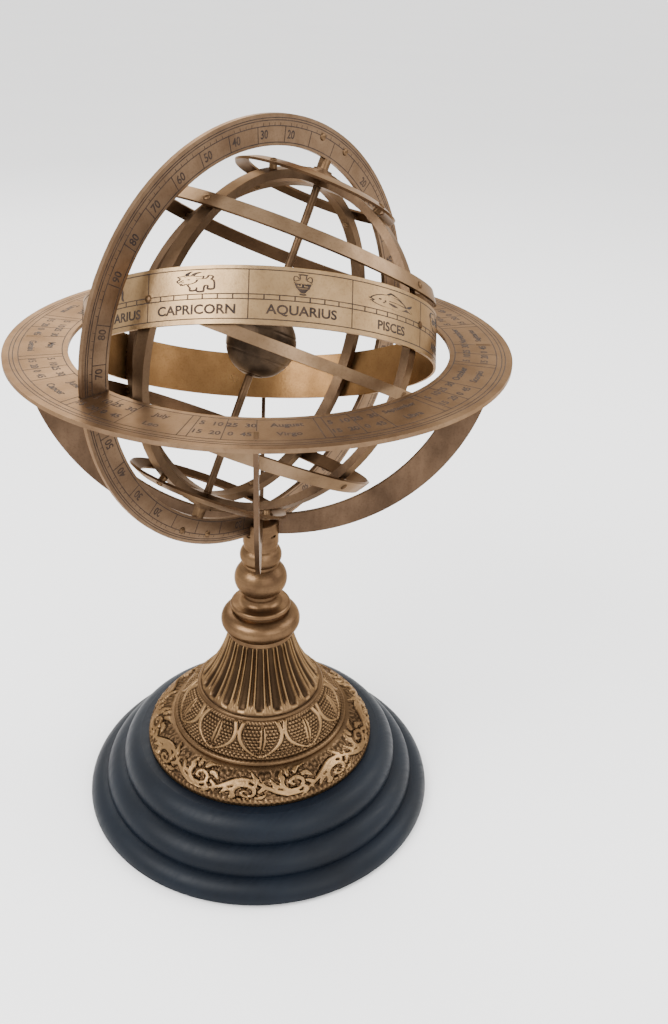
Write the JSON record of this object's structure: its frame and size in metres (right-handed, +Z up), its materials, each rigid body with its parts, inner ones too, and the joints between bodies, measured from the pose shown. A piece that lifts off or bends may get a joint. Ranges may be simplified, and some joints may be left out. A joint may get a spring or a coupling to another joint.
{
  "type": "armillary sphere",
  "caption": "Open sphere of nested brass rings round a small earth ball, tilting in a slotted ring cradle on an embossed foot and stepped wood base; it spins on a polar rod.",
  "frame": {"origin": "centre of the felt pad's underside", "axes": "+Z up; the meridian ring stands in the XZ plane and the north pole leans towards +X"},
  "size_m": [0.24, 0.24, 0.381],
  "materials": {
    "felt": "pressed wool felt",
    "painted_wood": "turned wood, dark blue-black paint, satin, a little worn at the edges",
    "steel": "zinc plated",
    "foot_brass": "antiqued, dark in the relief and rubbed on the high spots",
    "stem_brass": "antiqued brown, satin",
    "arm_brass": "antiqued brown, satin",
    "horizon_brass": "antiqued, engraved lines darkened",
    "meridian_brass": "antiqued, engraved scale darkened",
    "fitting_brass": "antiqued brown, satin",
    "earth_brass": "antiqued, mottled",
    "colure_brass": "antiqued brown, satin",
    "band_brass": "antiqued, lighter outside",
    "zodiac_brass": "antiqued, lighter outside, engraving darkened"
  },
  "bodies": {
    "stand": {"felt_pad": "felt", "wood_base": "painted_wood", "tie_nut": "steel", "tie_washer": "steel", "tie_rod": "steel", "embossed_foot": "foot_brass", "stem_collar": "stem_brass", "stem_disc": "stem_brass", "baluster": "stem_brass", "stem_post": "stem_brass", "arm_pins": "stem_brass", "horizon_ring": "horizon_brass", "cradle_arm_1": "arm_brass", "cradle_arm_2": "arm_brass", "cradle_arm_3": "arm_brass", "cradle_arm_4": "arm_brass"},
    "meridian": {"meridian_ring": "meridian_brass", "north_pivot_bracket": "fitting_brass", "south_pivot_bracket": "fitting_brass", "pivot_rivets": "fitting_brass"},
    "sphere": {"polar_rod": "fitting_brass", "earth_ball": "earth_brass", "north_pole_cap": "fitting_brass", "south_pole_cap": "fitting_brass", "equinoctial_colure": "colure_brass", "solstitial_colure": "colure_brass", "equator_band": "band_brass", "north_tropic_band": "band_brass", "south_tropic_band": "band_brass", "north_polar_band": "band_brass", "south_polar_band": "band_brass", "zodiac_band": "zodiac_brass", "band_rivets": "fitting_brass", "zodiac_rivets": "fitting_brass"}
  },
  "joints": [
    {"name": "meridian_tilt", "type": "hinge", "parent": "stand", "child": "meridian", "pos_m": [0, 0, 0.277], "axis": [0, 1, 0], "range_deg": [-15, 50]},
    {"name": "sphere_spin", "type": "hinge", "parent": "meridian", "child": "sphere", "pos_m": [0, 0, 0.277], "axis": [0.4695, 0, 0.8829], "continuous": true}
  ]
}
